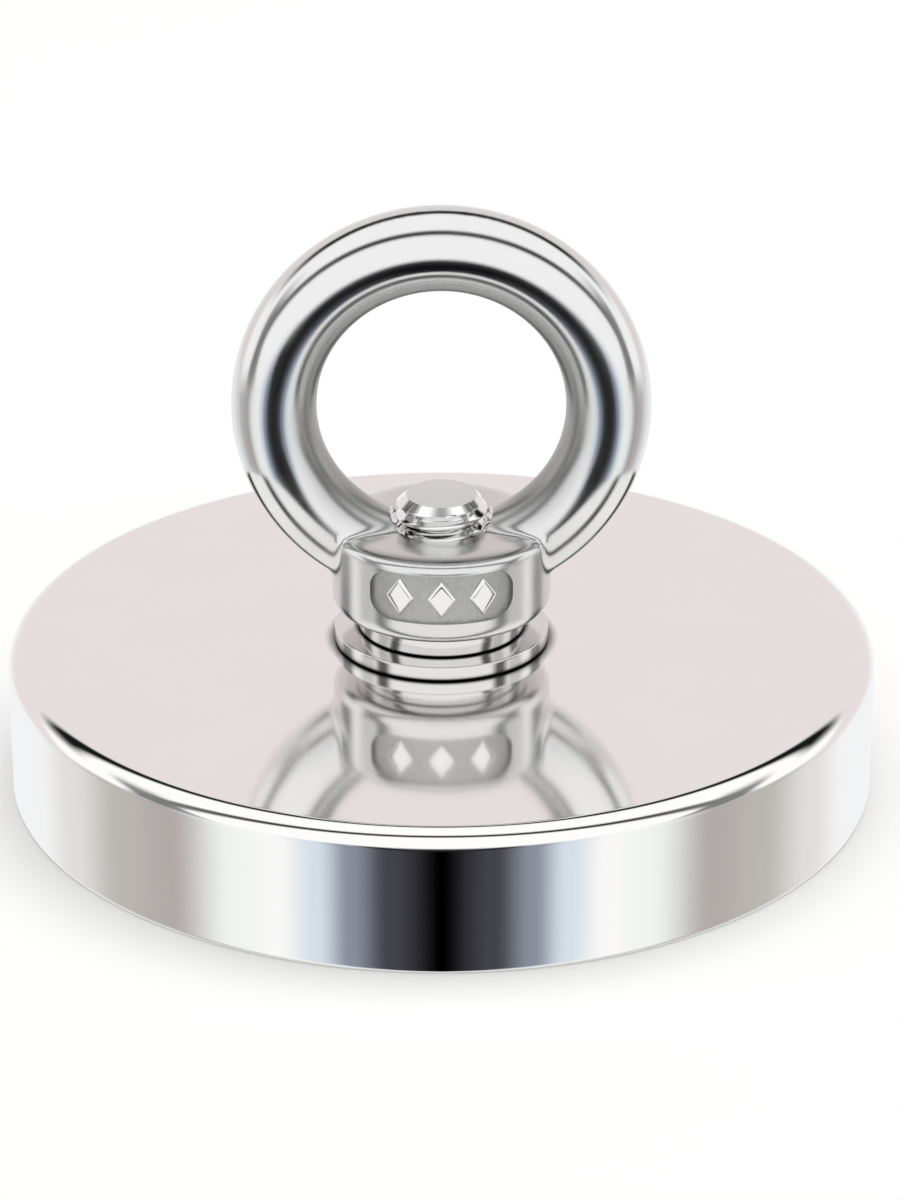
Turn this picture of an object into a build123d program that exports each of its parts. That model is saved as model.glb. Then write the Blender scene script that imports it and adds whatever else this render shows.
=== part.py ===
from build123d import *

import math
import os

# Magnet fishing magnet: a nickel-plated steel pot with a bonded ring magnet, pulled up by an eye nut.
# Millimetres, +Z up. The origin is the centre of the pot's open face, which is what grips the catch.
# A countersunk bolt comes up through the pot and carries a flat washer, a spring washer and the eye nut.

# Driving dimensions of the pot and what is bonded into it
POT_DIAMETER = 94.0
POT_HEIGHT = 16.0
RIM_WIDTH = 6.0
PLATE_THICKNESS = 6.0
POT_TOP_RADIUS = 2.0
POT_FOOT_RADIUS = 0.5
RIM_INNER_BEVEL = 0.3
MAGNET_RECESS = 0.3  # the magnet's face lies this far inside the rim
MAGNET_EDGE_RADIUS = 0.3
OUTER_RESIN_WIDTH = 2.0
INNER_RESIN_WIDTH = 1.0
RESIN_RECESS = 0.6
BOND_THICKNESS = 0.3
BUSH_DIAMETER = 25.0

# M10 coarse thread, both sides of it turned plain at about the pitch diameter
SHANK_DIAMETER = 9.03
THREAD_PLAY = 0.06

# Countersunk socket bolt, M10 x 30
BOLT_LENGTH = 30.0
BOLT_FACE_Z = 2.9
HEAD_DIAMETER = 19.8
HEAD_LAND = 0.4
HEAD_PLAY = 0.06
SOCKET_ACROSS_FLATS = 6.0
SOCKET_DEPTH = 3.9
NECK_DIAMETER = 10.0
NECK_TOP_Z = 11.0
TIP_FLAT_DIAMETER = 7.6
BOLT_HOLE_DIAMETER = 10.6

# Washers
SEAT_PLAY = 0.02  # left between faces that turn on each other
FLAT_WASHER_DIAMETER = 23.2
FLAT_WASHER_THICKNESS = 1.6
SPRING_WASHER_DIAMETER = 18.1
SPRING_WASHER_BORE = 10.4
SPRING_WASHER_THICKNESS = 2.6
SPRING_WASHER_SPLIT = 1.0
SPRING_WASHER_SLANT = 20.0
SPRING_WASHER_SPLIT_AT = 118.0  # degrees round from +X, which is at the back
WASHER_BEVEL = 0.15

# Eye nut
EYE_OUTSIDE_DIAMETER = 44.8
EYE_BAR_DIAMETER = 9.1
EYE_HEIGHT = 45.3  # from the nut's seat to the top of the ring
COLLAR_DIAMETER = 23.6
COLLAR_HEIGHT = 9.5
COLLAR_TOP_DIAMETER = 18.2
SHOULDER_DROP = 1.0
SHOULDER_BULGE = (0.75, 0.3)  # the shoulder's middle, inside the wall and below the top
COLLAR_FOOT_RADIUS = 0.9
THREAD_MOUTH_DIAMETER = 11.2
PANEL_WIDTH = 15.2
PANEL_HEIGHT = 5.6
PANEL_CORNER = 2.2
PANEL_DEPTH = 0.4
PANEL_RISE = 0.6  # the panel's middle lies this far above the collar's
PIP_COUNT = 3
PIP_SPACING = 4.5
PIP_HEIGHT = 4.6
PIP_WIDTH = 3.4
PIP_PROUD = 0.3

# Derived radii and levels
POT_RADIUS = POT_DIAMETER / 2
CAVITY_RADIUS = POT_RADIUS - RIM_WIDTH
CAVITY_TOP_Z = POT_HEIGHT - PLATE_THICKNESS
MAGNET_RADIUS = CAVITY_RADIUS - OUTER_RESIN_WIDTH
BUSH_RADIUS = BUSH_DIAMETER / 2
MAGNET_BORE_RADIUS = BUSH_RADIUS + INNER_RESIN_WIDTH
MAGNET_TOP_Z = CAVITY_TOP_Z - BOND_THICKNESS
BOLT_HOLE_RADIUS = BOLT_HOLE_DIAMETER / 2
HEAD_RADIUS = HEAD_DIAMETER / 2
HEAD_LAND_Z = BOLT_FACE_Z + HEAD_LAND
BOLT_TIP_Z = BOLT_FACE_Z + BOLT_LENGTH
FLAT_WASHER_Z = POT_HEIGHT + SEAT_PLAY
SPRING_WASHER_Z = FLAT_WASHER_Z + FLAT_WASHER_THICKNESS
SPRING_WASHER_TOP_Z = SPRING_WASHER_Z + SPRING_WASHER_THICKNESS
NUT_SEAT_Z = SPRING_WASHER_TOP_Z + SEAT_PLAY
COLLAR_RADIUS = COLLAR_DIAMETER / 2
COLLAR_TOP_Z = NUT_SEAT_Z + COLLAR_HEIGHT
EYE_BAR_RADIUS = EYE_BAR_DIAMETER / 2
EYE_RING_RADIUS = EYE_OUTSIDE_DIAMETER / 2 - EYE_BAR_RADIUS
EYE_CENTRE_Z = NUT_SEAT_Z + EYE_HEIGHT - EYE_OUTSIDE_DIAMETER / 2
PANEL_Z = (NUT_SEAT_Z + COLLAR_TOP_Z) / 2 + PANEL_RISE


def turned(*profile):
    """A solid turned about Z from its (radius, height) corners."""
    with BuildSketch(Plane.XZ) as section:
        with BuildLine():
            Polyline(*profile, close=True)
        make_face()
    return revolve(section.sketch, Axis.Z, 360)


def tube(outer_radius, inner_radius, bottom_z, top_z):
    return turned(
        (inner_radius, bottom_z),
        (outer_radius, bottom_z),
        (outer_radius, top_z),
        (inner_radius, top_z),
    )


def round_edges(solid, radius, height):
    """The turned solid's circular edges of this radius at this height."""
    return [
        edge
        for edge in solid.edges().filter_by(GeomType.CIRCLE)
        if math.isclose(edge.radius, radius, abs_tol=1e-3)
        and math.isclose(edge.center().Z, height, abs_tol=1e-3)
    ]


def pot_shell():
    """The steel cup: plate and rim in one piece, with the bolt's hole in the middle."""
    cup = turned(
        (BOLT_HOLE_RADIUS, CAVITY_TOP_Z),
        (CAVITY_RADIUS, CAVITY_TOP_Z),
        (CAVITY_RADIUS, 0),
        (POT_RADIUS, 0),
        (POT_RADIUS, POT_HEIGHT),
        (BOLT_HOLE_RADIUS, POT_HEIGHT),
    )
    cup = fillet(round_edges(cup, POT_RADIUS, POT_HEIGHT), POT_TOP_RADIUS)
    cup = fillet(round_edges(cup, POT_RADIUS, 0), POT_FOOT_RADIUS)
    return chamfer(round_edges(cup, CAVITY_RADIUS, 0), RIM_INNER_BEVEL)


def ring_magnet():
    """The plated magnet, with its edges rounded on the open face."""
    ring = tube(MAGNET_RADIUS, MAGNET_BORE_RADIUS, MAGNET_RECESS, MAGNET_TOP_Z)
    outer_edge = round_edges(ring, MAGNET_RADIUS, MAGNET_RECESS)
    bore_edge = round_edges(ring, MAGNET_BORE_RADIUS, MAGNET_RECESS)
    return fillet(outer_edge + bore_edge, MAGNET_EDGE_RADIUS)


def bond_film():
    return tube(CAVITY_RADIUS, BUSH_RADIUS, MAGNET_TOP_Z, CAVITY_TOP_Z)


def outer_resin_ring():
    return tube(CAVITY_RADIUS, MAGNET_RADIUS, RESIN_RECESS, MAGNET_TOP_Z)


def inner_resin_ring():
    return tube(MAGNET_BORE_RADIUS, BUSH_RADIUS, RESIN_RECESS, MAGNET_TOP_Z)


def centre_bush():
    """The brass bush that the bolt's head bears on, because the magnet is too brittle to."""
    bore_radius = HEAD_RADIUS + HEAD_PLAY
    return turned(
        (bore_radius, MAGNET_RECESS),
        (BUSH_RADIUS, MAGNET_RECESS),
        (BUSH_RADIUS, CAVITY_TOP_Z),
        (BOLT_HOLE_RADIUS, CAVITY_TOP_Z),
        (BOLT_HOLE_RADIUS, HEAD_LAND_Z + bore_radius - BOLT_HOLE_RADIUS),
        (bore_radius, HEAD_LAND_Z),
    )


def countersunk_bolt():
    """The socket bolt. Its neck ends inside the pot's plate, and its tip is bevelled."""
    neck_radius = NECK_DIAMETER / 2
    shank_radius = SHANK_DIAMETER / 2
    tip_radius = TIP_FLAT_DIAMETER / 2
    blank = turned(
        (0, BOLT_FACE_Z),
        (HEAD_RADIUS, BOLT_FACE_Z),
        (HEAD_RADIUS, HEAD_LAND_Z),
        (neck_radius, HEAD_LAND_Z + HEAD_RADIUS - neck_radius),
        (neck_radius, NECK_TOP_Z),
        (shank_radius, NECK_TOP_Z + neck_radius - shank_radius),
        (shank_radius, BOLT_TIP_Z - shank_radius + tip_radius),
        (tip_radius, BOLT_TIP_Z),
        (0, BOLT_TIP_Z),
    )
    with BuildSketch(Plane.XY.offset(BOLT_FACE_Z)) as hexagon:
        RegularPolygon(SOCKET_ACROSS_FLATS / math.sqrt(3), 6)
    return blank - extrude(hexagon.sketch, SOCKET_DEPTH)


def flat_washer():
    top_z = SPRING_WASHER_Z
    washer = tube(FLAT_WASHER_DIAMETER / 2, BOLT_HOLE_RADIUS, FLAT_WASHER_Z, top_z)
    return chamfer(round_edges(washer, FLAT_WASHER_DIAMETER / 2, top_z), WASHER_BEVEL)


def spring_washer():
    """The split lock washer, pressed flat under the nut."""
    radius = SPRING_WASHER_DIAMETER / 2
    ring = tube(radius, SPRING_WASHER_BORE / 2, SPRING_WASHER_Z, SPRING_WASHER_TOP_Z)
    ring = chamfer(round_edges(ring, radius, SPRING_WASHER_TOP_Z), WASHER_BEVEL)
    blade = Box(2 * radius, SPRING_WASHER_SPLIT, 3 * SPRING_WASHER_THICKNESS)
    blade = Rot(SPRING_WASHER_SLANT, 0, 0) * blade
    middle_z = (SPRING_WASHER_Z + SPRING_WASHER_TOP_Z) / 2
    return ring - Pos(0, 0, middle_z) * Rot(0, 0, SPRING_WASHER_SPLIT_AT) * Pos(radius, 0, 0) * blade


def blank_collar():
    """The collar before it is bored, with its flat top and rounded shoulder."""
    bulge_inset, bulge_drop = SHOULDER_BULGE
    top = (COLLAR_TOP_DIAMETER / 2, COLLAR_TOP_Z)
    middle = (COLLAR_RADIUS - bulge_inset, COLLAR_TOP_Z - bulge_drop)
    wall_top = (COLLAR_RADIUS, COLLAR_TOP_Z - SHOULDER_DROP)
    with BuildSketch(Plane.XZ) as section:
        with BuildLine():
            Polyline(wall_top, (COLLAR_RADIUS, NUT_SEAT_Z), (0, NUT_SEAT_Z), (0, COLLAR_TOP_Z), top)
            ThreePointArc(top, middle, wall_top)
        make_face()
    return revolve(section.sketch, Axis.Z, 360)


def nut_bore():
    """What the drill and the countersinks take out of the collar, and out of the ring above it."""
    bore_radius = SHANK_DIAMETER / 2 + THREAD_PLAY
    mouth_radius = THREAD_MOUTH_DIAMETER / 2
    mouth_depth = mouth_radius - bore_radius
    return turned(
        (0, NUT_SEAT_Z),
        (mouth_radius, NUT_SEAT_Z),
        (bore_radius, NUT_SEAT_Z + mouth_depth),
        (bore_radius, COLLAR_TOP_Z - mouth_depth),
        (mouth_radius, COLLAR_TOP_Z),
        (mouth_radius, EYE_CENTRE_Z),
        (0, EYE_CENTRE_Z),
    )


def on_the_front(outline, inner_radius, outer_radius):
    """The outline pushed out of the collar's front, between two radii."""
    return extrude(outline, 2 * COLLAR_RADIUS) & tube(outer_radius, inner_radius, NUT_SEAT_Z, COLLAR_TOP_Z)


def panel_outline():
    with BuildSketch(Plane.XZ.move(Location((0, 0, PANEL_Z)))) as outline:
        RectangleRounded(PANEL_WIDTH, PANEL_HEIGHT, PANEL_CORNER)
    return outline.sketch


def pip_outline(x):
    """A lozenge."""
    with BuildSketch(Plane.XZ.move(Location((x, 0, PANEL_Z)))) as outline:
        with BuildLine():
            Polyline(
                (0, -PIP_HEIGHT / 2),
                (PIP_WIDTH / 2, 0),
                (0, PIP_HEIGHT / 2),
                (-PIP_WIDTH / 2, 0),
                close=True,
            )
        make_face()
    return outline.sketch


def eye_nut():
    """The forged ring and its collar in one piece, with a sunk panel on the front and raised pips in it."""
    collar = blank_collar()
    collar = fillet(round_edges(collar, COLLAR_RADIUS, NUT_SEAT_Z), COLLAR_FOOT_RADIUS)
    ring = Pos(0, 0, EYE_CENTRE_Z) * Rot(90, 0, 0) * Torus(EYE_RING_RADIUS, EYE_BAR_RADIUS)
    panel_radius = COLLAR_RADIUS - PANEL_DEPTH
    nut = collar + ring - on_the_front(panel_outline(), panel_radius, COLLAR_RADIUS + PANEL_DEPTH)
    for index in range(PIP_COUNT):
        x = (index - (PIP_COUNT - 1) / 2) * PIP_SPACING
        nut = nut + on_the_front(pip_outline(x), panel_radius - PANEL_DEPTH, panel_radius + PIP_PROUD)
    return nut - nut_bore()


PIECES = (
    pot_shell,
    ring_magnet,
    bond_film,
    outer_resin_ring,
    inner_resin_ring,
    centre_bush,
    countersunk_bolt,
    flat_washer,
    spring_washer,
    eye_nut,
)

os.makedirs("parts", exist_ok=True)
for piece in PIECES:
    export_step(piece(), f"parts/{piece.__name__}.step")
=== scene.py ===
import math

import bmesh
import bpy
import numpy as np
from mathutils import Matrix, Vector


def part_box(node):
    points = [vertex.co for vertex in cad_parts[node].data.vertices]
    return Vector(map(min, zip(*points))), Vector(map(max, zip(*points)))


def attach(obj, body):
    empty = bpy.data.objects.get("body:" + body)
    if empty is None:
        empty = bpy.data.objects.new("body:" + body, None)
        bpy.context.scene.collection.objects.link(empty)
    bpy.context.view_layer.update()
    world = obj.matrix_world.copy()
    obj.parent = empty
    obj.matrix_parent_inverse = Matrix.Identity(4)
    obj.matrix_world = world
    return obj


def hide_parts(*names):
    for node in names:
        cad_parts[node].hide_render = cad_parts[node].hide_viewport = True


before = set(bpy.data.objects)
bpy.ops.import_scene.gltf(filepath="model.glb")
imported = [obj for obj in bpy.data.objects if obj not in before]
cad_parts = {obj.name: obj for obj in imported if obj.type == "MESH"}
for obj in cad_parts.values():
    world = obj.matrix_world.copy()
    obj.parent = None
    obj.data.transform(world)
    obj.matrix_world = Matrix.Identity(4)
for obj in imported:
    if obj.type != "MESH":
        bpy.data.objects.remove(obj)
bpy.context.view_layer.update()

# A magnet fishing magnet: a plated pot with a ring magnet bonded in it, and an eye nut on its bolt.
# Sizes in the outlines below are millimetres, and MM turns them into the scene's metres.
MM = 0.001
FULL_TURN = 2 * math.pi


# ---------------------------------------------------------------- sizes, read from the frame


def turned_size(node):
    """A turned node's outer radius and its lowest and highest level, in millimetres."""
    low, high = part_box(node)
    return high.x / MM, low.z / MM, high.z / MM


POT_RADIUS, POT_FOOT, POT_TOP = turned_size("pot_shell")
MAGNET_RADIUS, MAGNET_FACE, MAGNET_BACK = turned_size("ring_magnet")
RESIN_RADIUS, RESIN_FACE, RESIN_BACK = turned_size("outer_resin_ring")
INNER_RESIN_RADIUS = turned_size("inner_resin_ring")[0]
BUSH_RADIUS, BUSH_FACE, BUSH_BACK = turned_size("centre_bush")
HEAD_RADIUS, BOLT_FACE, BOLT_TIP = turned_size("countersunk_bolt")
WASHER_RADIUS, WASHER_BOTTOM, WASHER_TOP = turned_size("flat_washer")
SPRING_BOTTOM, SPRING_TOP = (corner.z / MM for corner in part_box("spring_washer"))
EYE_LOW, EYE_HIGH = (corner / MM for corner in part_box("eye_nut"))

POT_TOP_CORNER = 2.0
POT_FOOT_CORNER = 0.5
BOLT_HOLE_RADIUS = 5.3
SPRING_RADIUS = 9.05
SPRING_BORE_RADIUS = 5.2
SPRING_MIDDLE = (SPRING_RADIUS + SPRING_BORE_RADIUS) / 2
SPRING_GAP = 1.0
SPRING_END_LEAN = math.radians(20)
SPRING_GAP_AT = math.radians(118)
HEAD_LAND = 0.4
HEAD_PLAY = 0.06
NECK_RADIUS = 5.0
NECK_TOP = 11.0
TIP_RADIUS = 3.8
SOCKET_ACROSS_FLATS = 6.0
SOCKET_DEPTH = 3.9

PITCH = 1.5
THREAD_MAJOR = 4.93
THREAD_MINOR = 4.1
THREAD_CREST = 0.2
THREAD_PLAY = 0.07

RING_BAR = 4.55
RING_RADIUS = EYE_HIGH.x - RING_BAR
RING_CENTRE = EYE_HIGH.z - EYE_HIGH.x
COLLAR_RADIUS = EYE_HIGH.y
COLLAR_FOOT = EYE_LOW.z
COLLAR_TOP = COLLAR_FOOT + 9.5
COLLAR_FLAT_RADIUS = 9.1
MOUTH_RADIUS = 5.6
PANEL_WIDTH = 15.2
PANEL_HEIGHT = 5.6
PANEL_CORNER = 2.2
PANEL_DEPTH = 0.4
PANEL_MIDDLE = (COLLAR_FOOT + COLLAR_TOP) / 2 + 0.6
MARK_COUNT = 3
MARK_SPACING = 4.5
MARK_WIDTH = 3.4
MARK_HEIGHT = 4.6
MARK_SINK = 0.02  # how far the marks reach into the panel's floor


# ---------------------------------------------------------------- node helpers


class Graph:
    """Short ways to add and join the nodes of one tree."""

    def __init__(self, tree):
        self.tree = tree

    def node(self, kind, inputs=None, **settings):
        made = self.tree.nodes.new(kind)
        for name, value in settings.items():
            setattr(made, name, value)
        for socket, value in (inputs or {}).items():
            self.feed(value, made.inputs[socket])
        return made

    def feed(self, value, socket):
        """A socket's value: another node's output, or a constant."""
        if isinstance(value, bpy.types.NodeSocket):
            self.tree.links.new(value, socket)
        else:
            socket.default_value = value

    def math(self, operation, *values):
        return self.node("ShaderNodeMath", dict(enumerate(values)), operation=operation).outputs[0]

    def vector(self, operation, *values):
        made = self.node("ShaderNodeVectorMath", dict(enumerate(values)), operation=operation)
        return made.outputs["Value" if operation in ("DOT_PRODUCT", "LENGTH") else "Vector"]

    def ease(self, value, low, high, to_low=0.0, to_high=1.0):
        """Eases from to_low to to_high as value goes from low to high."""
        inputs = {"Value": value, "From Min": low, "From Max": high, "To Min": to_low, "To Max": to_high}
        return self.node("ShaderNodeMapRange", inputs, interpolation_type="SMOOTHSTEP").outputs["Result"]

    def blend(self, factor, first, second):
        made = self.node("ShaderNodeMix", data_type="RGBA")
        self.feed(factor, made.inputs["Factor"])
        self.feed(first, made.inputs[6])
        self.feed(second, made.inputs[7])
        return made.outputs[2]


def grey(tone):
    return (tone, tone, tone, 1.0)


# ---------------------------------------------------------------- materials


def new_material(name):
    """A material with its principled shader, its graph and its object coordinates."""
    material = bpy.data.materials.new(name)
    material.use_nodes = True
    graph = Graph(material.node_tree)
    shader = material.node_tree.nodes["Principled BSDF"]
    place = graph.node("ShaderNodeTexCoord").outputs["Object"]
    return material, graph, shader, place


def grain(graph, place, size, detail=3.0):
    """Noise whose spots are about size millimetres across."""
    inputs = {"Vector": place, "Scale": 1 / (size * MM), "Detail": detail, "Roughness": 0.55}
    return graph.node("ShaderNodeTexNoise", inputs).outputs["Fac"]


def raise_surface(graph, shader, height, depth):
    """Bump of the given depth in millimetres."""
    inputs = {"Height": height, "Distance": depth * MM, "Strength": 1.0}
    graph.feed(graph.node("ShaderNodeBump", inputs).outputs["Normal"], shader.inputs["Normal"])


def metal(name, dark, light, rough, patch, grain_size, grain_depth):
    """A metal whose tone and gloss drift between two values in patches, with a fine grain on it."""
    material, graph, shader, place = new_material(name)
    shader.inputs["Metallic"].default_value = 1.0
    drift = grain(graph, place, patch, 4.0)
    fine = grain(graph, place, grain_size, 2.0)
    graph.feed(graph.blend(drift, dark, light), shader.inputs["Base Color"])
    gloss = graph.math("ADD", graph.math("MULTIPLY", drift, 0.6), graph.math("MULTIPLY", fine, 0.4))
    graph.feed(graph.ease(gloss, 0.25, 0.75, rough[0], rough[1]), shader.inputs["Roughness"])
    raise_surface(graph, shader, fine, grain_depth)
    return material


def make_materials():
    """The object's finishes, by name."""
    return {
        "nickel_mirror": nickel_mirror(),
        "magnet_plating": metal(
            "magnet_plating", (0.62, 0.60, 0.585, 1), (0.74, 0.72, 0.70, 1), (0.16, 0.30), 9, 0.25, 0.0012
        ),
        "washer_polished": washer_polished(),
        "stainless_polished": metal(
            "stainless_polished",
            (0.84, 0.835, 0.825, 1),
            (0.90, 0.895, 0.89, 1),
            (0.035, 0.06),
            6,
            0.12,
            0.0002,
        ),
        "bolt_bright": bolt_bright(),
        "cast_floor": metal(
            "cast_floor", (0.42, 0.42, 0.41, 1), (0.66, 0.66, 0.65, 1), (0.38, 0.55), 0.9, 0.28, 0.05
        ),
        "eye_stainless": eye_stainless(),
        "bush_brass": bush_brass(),
        "potting_resin": potting_resin(),
    }


def nickel_mirror():
    """Bright nickel plate: a mirror on the wall and the corners, and a shade softer on the flat top.

    Painted shade darkens the flat top in a ring round the foot of the flat washer, in place of the contact
    shadow there."""
    material, graph, shader, place = new_material("nickel_mirror")
    shader.inputs["Metallic"].default_value = 1.0
    height = graph.node("ShaderNodeSeparateXYZ", {0: place}).outputs["Z"]
    on_top = graph.ease(height, (POT_TOP - 0.06) * MM, (POT_TOP - 0.01) * MM)
    drift = grain(graph, place, 14, 4.0)
    plate = graph.blend(drift, (0.93, 0.92, 0.915, 1), (0.96, 0.95, 0.945, 1))
    from_axis = graph.vector("LENGTH", graph.vector("MULTIPLY", place, (1, 1, 0)))
    # painted shade: the flat top goes near black within about a millimetre of the flat washer, standing in
    # for contact shadow
    clear_of_painted_shade = graph.ease(from_axis, (WASHER_RADIUS - 0.2) * MM, (WASHER_RADIUS + 1.3) * MM)
    clear_of_painted_shade = graph.math("MAXIMUM", clear_of_painted_shade, graph.math("SUBTRACT", 1, on_top))
    graph.feed(graph.blend(clear_of_painted_shade, (0.10, 0.10, 0.10, 1), plate), shader.inputs["Base Color"])
    mirror = graph.ease(drift, 0.3, 0.7, 0.02, 0.045)
    soft = graph.ease(drift, 0.3, 0.7, 0.075, 0.10)
    rough = graph.math("ADD", mirror, graph.math("MULTIPLY", on_top, graph.math("SUBTRACT", soft, mirror)))
    graph.feed(rough, shader.inputs["Roughness"])
    return material


def bolt_bright():
    """Bright stainless, with a satin face where the tip was turned off flat."""
    material, graph, shader, place = new_material("bolt_bright")
    shader.inputs["Metallic"].default_value = 1.0
    height = graph.node("ShaderNodeSeparateXYZ", {0: place}).outputs["Z"]
    on_tip = graph.ease(height, (BOLT_TIP - 0.06) * MM, (BOLT_TIP - 0.01) * MM)
    drift = grain(graph, place, 4, 4.0)
    graph.feed(graph.blend(drift, (0.92, 0.92, 0.92, 1), (0.97, 0.97, 0.965, 1)), shader.inputs["Base Color"])
    bright = graph.ease(drift, 0.3, 0.7, 0.05, 0.10)
    graph.feed(graph.math("ADD", bright, graph.math("MULTIPLY", on_tip, 0.42)), shader.inputs["Roughness"])
    return material


def washer_polished():
    """Polished stainless, with painted shade darkening the crevice at the foot of each washer and round the
    spring washer.
    """
    material, graph, shader, place = new_material("washer_polished")
    shader.inputs["Metallic"].default_value = 1.0
    height = graph.node("ShaderNodeSeparateXYZ", {0: place}).outputs["Z"]
    from_axis = graph.vector("LENGTH", graph.vector("MULTIPLY", place, (1, 1, 0)))
    on_top = graph.ease(height, (WASHER_TOP - 0.1) * MM, (WASHER_TOP - 0.02) * MM)
    near_spring = graph.ease(from_axis, SPRING_RADIUS * MM, (SPRING_RADIUS + 0.65) * MM, 1.0, 0.0)
    by_spring = graph.math("MULTIPLY", on_top, near_spring)
    above = graph.ease(height, (WASHER_TOP + 0.1) * MM, (WASHER_TOP + 0.4) * MM, 1.0, 0.0)
    foot = graph.ease(height, (WASHER_BOTTOM + 0.1) * MM, (WASHER_BOTTOM + 0.4) * MM, 1.0, 0.0)
    # painted shade: near black at each washer's foot and on the flat washer's top next to the spring washer,
    # standing in for contact shadow
    crevice_painted_shade = graph.math("MAXIMUM", foot, graph.math("MULTIPLY", by_spring, above))
    drift = grain(graph, place, 6, 4.0)
    steel = graph.blend(drift, (0.74, 0.735, 0.725, 1), (0.84, 0.835, 0.83, 1))
    graph.feed(graph.blend(crevice_painted_shade, steel, grey(0.03)), shader.inputs["Base Color"])
    graph.feed(graph.ease(drift, 0.3, 0.7, 0.05, 0.09), shader.inputs["Roughness"])
    return material


def eye_stainless():
    """Stainless with a high polish on the ring and a duller finish inside it, with painted shade darkening
    the ring towards its inner edge, and left satin on the collar.
    """
    material, graph, shader, place = new_material("eye_stainless")
    shader.inputs["Metallic"].default_value = 1.0
    height = graph.node("ShaderNodeSeparateXYZ", {0: place}).outputs["Z"]
    on_ring = graph.ease(height, (COLLAR_TOP - 1.5) * MM, (COLLAR_TOP + 3.5) * MM)
    drift = grain(graph, place, 5, 4.0)
    fine = grain(graph, place, 0.16, 2.0)
    tone = graph.blend(drift, (0.72, 0.72, 0.72, 1), (0.83, 0.83, 0.825, 1))
    from_centre = graph.vector("SUBTRACT", place, (0, 0, RING_CENTRE * MM))
    from_centre = graph.vector("LENGTH", graph.vector("MULTIPLY", from_centre, (1, 0, 1)))
    inside = (RING_RADIUS - RING_BAR) * MM
    # this mask sets the rougher finish inside the ring and also a painted shade: the ring's colour darkens to
    # 0.38 towards its inner edge, standing in for shade and dark reflections there
    polished_unshaded = graph.ease(from_centre, inside, inside + 4.0 * MM)
    ring_tone_painted_shade = graph.blend(polished_unshaded, (0.38, 0.38, 0.375, 1), (0.82, 0.82, 0.82, 1))
    graph.feed(graph.blend(on_ring, tone, ring_tone_painted_shade), shader.inputs["Base Color"])
    satin = graph.ease(drift, 0.3, 0.7, 0.17, 0.23)
    polish = graph.ease(drift, 0.3, 0.7, 0.11, 0.14)
    polish = graph.math("ADD", polish, graph.math("MULTIPLY", graph.math("SUBTRACT", 1, polished_unshaded), 0.2))
    rough = graph.math("ADD", satin, graph.math("MULTIPLY", on_ring, graph.math("SUBTRACT", polish, satin)))
    graph.feed(rough, shader.inputs["Roughness"])
    raise_surface(graph, shader, fine, 0.0012)
    return material


def bush_brass():
    """Turned brass, with the fine rings that the lathe leaves."""
    material, graph, shader, place = new_material("bush_brass")
    shader.inputs["Metallic"].default_value = 1.0
    flat = graph.vector("MULTIPLY", place, (1, 1, 0))
    rings = graph.math("SINE", graph.math("MULTIPLY", graph.vector("LENGTH", flat), FULL_TURN / (0.18 * MM)))
    drift = grain(graph, place, 3, 4.0)
    graph.feed(graph.blend(drift, (0.62, 0.42, 0.15, 1), (0.83, 0.62, 0.30, 1)), shader.inputs["Base Color"])
    graph.feed(graph.ease(drift, 0.3, 0.7, 0.16, 0.30), shader.inputs["Roughness"])
    raise_surface(graph, shader, rings, 0.004)
    return material


def potting_resin():
    """Black epoxy, poured and set with a slight skin."""
    material, graph, shader, place = new_material("potting_resin")
    drift = grain(graph, place, 2.2, 5.0)
    fine = grain(graph, place, 0.5, 3.0)
    tone = graph.blend(drift, (0.008, 0.008, 0.009, 1), (0.028, 0.028, 0.031, 1))
    graph.feed(tone, shader.inputs["Base Color"])
    graph.feed(graph.ease(drift, 0.3, 0.7, 0.22, 0.42), shader.inputs["Roughness"])
    raise_surface(graph, shader, fine, 0.05)
    return material


# ---------------------------------------------------------------- outlines of turned pieces


ARC_STEPS = 12
GUARD = 0.04  # extra points this far beside a corner keep the flats either side of it flat


def outline(*corners, closed=True):
    """Points of a turned piece's section from (radius, height, corner radius) corners."""
    points = []
    count = len(corners)
    for index, (radius, height, rounding) in enumerate(corners):
        here = Vector((radius, height))
        if not closed and index in (0, count - 1):
            points.append(here)
            continue
        before = (Vector(corners[index - 1][:2]) - here).normalized()
        after = (Vector(corners[(index + 1) % count][:2]) - here).normalized()
        half_angle = before.angle(after) / 2
        reach = rounding / math.tan(half_angle)
        points.append(here + before * (reach + GUARD))
        if rounding:
            centre = here + (before + after).normalized() * (rounding / math.sin(half_angle))
            start = here + before * reach - centre
            end = here + after * reach - centre
            sweep = start.angle_signed(end)
            for step in range(ARC_STEPS + 1):
                points.append(centre + Matrix.Rotation(-sweep * step / ARC_STEPS, 2) @ start)
        else:
            points.append(here)
        points.append(here + after * (reach + GUARD))
    if closed:
        points.append(points[0])
    return points


def ring_outline(outer, inner, bottom, top, outer_corner, inner_corner):
    """The section of a plain ring, with its four edges rounded."""
    return outline(
        (inner, bottom, inner_corner),
        (outer, bottom, outer_corner),
        (outer, top, outer_corner),
        (inner, top, inner_corner),
    )


# ---------------------------------------------------------------- geometry trees


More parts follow.
